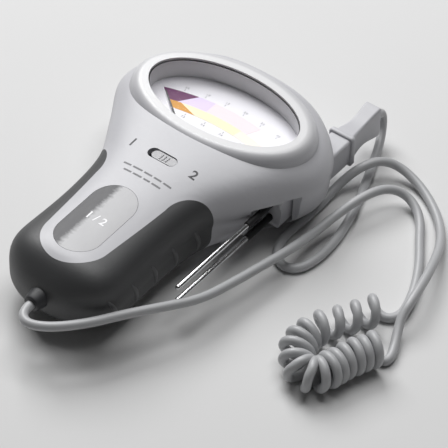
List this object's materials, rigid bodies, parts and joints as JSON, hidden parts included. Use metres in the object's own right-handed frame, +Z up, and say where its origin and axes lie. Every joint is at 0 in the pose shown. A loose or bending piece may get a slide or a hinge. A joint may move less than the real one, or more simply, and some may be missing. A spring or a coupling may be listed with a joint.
{
  "type": "analogue pool water tester",
  "caption": "Hand-held analogue water tester: needle dial in a wide head, rubber-covered handle, slide switch and a pull-out electrode probe on a curly cord.",
  "frame": {"origin": "on the flat back, below the middle of the window", "axes": "+Z up through the dial, +Y from the handle towards the head and out along the probe, +X to the side that the probe is on"},
  "size_m": [0.1776, 0.2008, 0.0416],
  "materials": {
    "case_white": "moulded plastic, slightly textured",
    "rubber_grey": "matt moulded rubber",
    "rim_white": "smooth gloss plastic",
    "lens_clear": "clear acrylic",
    "label_silver": "brushed",
    "holder_grey": "moulded",
    "dial_card": "printed",
    "screw_steel": "machined",
    "brass_parts": "turned",
    "soft_iron": "ground",
    "coil_copper": "enamelled winding",
    "coil_frame": "plain",
    "needle_black": "satin black",
    "hair_bronze": "spring bronze",
    "knob_plastic": "smooth",
    "switch_black": "smooth black",
    "board_green": "solder mask",
    "resistor_tan": "lacquered",
    "probe_grey": "moulded",
    "electrode_chrome": "polished",
    "wire_red": "insulation",
    "wire_black": "insulation",
    "gland_rubber": "matt",
    "cord_grey": "satin sheath"
  },
  "bodies": {
    "root": {"front_shell": "case_white", "rear_shell": "case_white", "grip_boot": "rubber_grey", "window_rim": "rim_white", "window_lens": "lens_clear", "label_plate": "label_silver", "probe_holder": "holder_grey", "dial_plate": "dial_card", "case_screws": "screw_steel", "dial_screws": "screw_steel", "jewel_screws": "screw_steel", "dial_pillars": "brass_parts", "movement_frame": "brass_parts", "yoke_ring": "soft_iron", "core_magnet": "soft_iron", "switch_contacts": "hair_bronze", "switch_housing": "switch_black", "trimmer": "switch_black", "circuit_board": "board_green", "resistors": "resistor_tan", "wire_red": "wire_red", "movement_wire_red": "wire_red", "wire_black": "wire_black", "movement_wire_black": "wire_black", "cable_gland": "gland_rubber", "cord_gland_side": "cord_grey", "cord_curly": "cord_grey", "cord_probe_side": "cord_grey"},
    "pointer": {"coil_former": "coil_frame", "coil_winding": "coil_copper", "pointer_staff": "coil_frame", "pointer_needle": "needle_black", "pointer_balance": "coil_frame", "hairspring_upper": "hair_bronze", "hairspring_lower": "hair_bronze"},
    "selector": {"switch_knob": "knob_plastic", "switch_wiper": "hair_bronze"},
    "probe": {"probe_body": "probe_grey", "probe_grip": "probe_grey", "electrode_upper": "electrode_chrome", "electrode_lower": "electrode_chrome", "electrode_sleeves": "switch_black", "lead_crimps": "brass_parts", "probe_leads": "wire_black", "cord_bushing": "probe_grey"}
  },
  "joints": [
    {"name": "pointer_swing", "type": "hinge", "parent": "root", "child": "pointer", "pos_m": [0, -0.025, 0], "axis": [0, 0, -1], "range_deg": [0, 96], "stiffness_Nm_per_rad": 0.0002},
    {"name": "mode_switch", "type": "slide", "parent": "root", "child": "selector", "axis": [-1, 0, 0], "range_m": [0, 0.002]},
    {"name": "probe_slide", "type": "slide", "parent": "root", "child": "probe", "axis": [0, 1, 0], "range_m": [0, 0.11], "deforming": ["cord_probe_side"]}
  ]
}
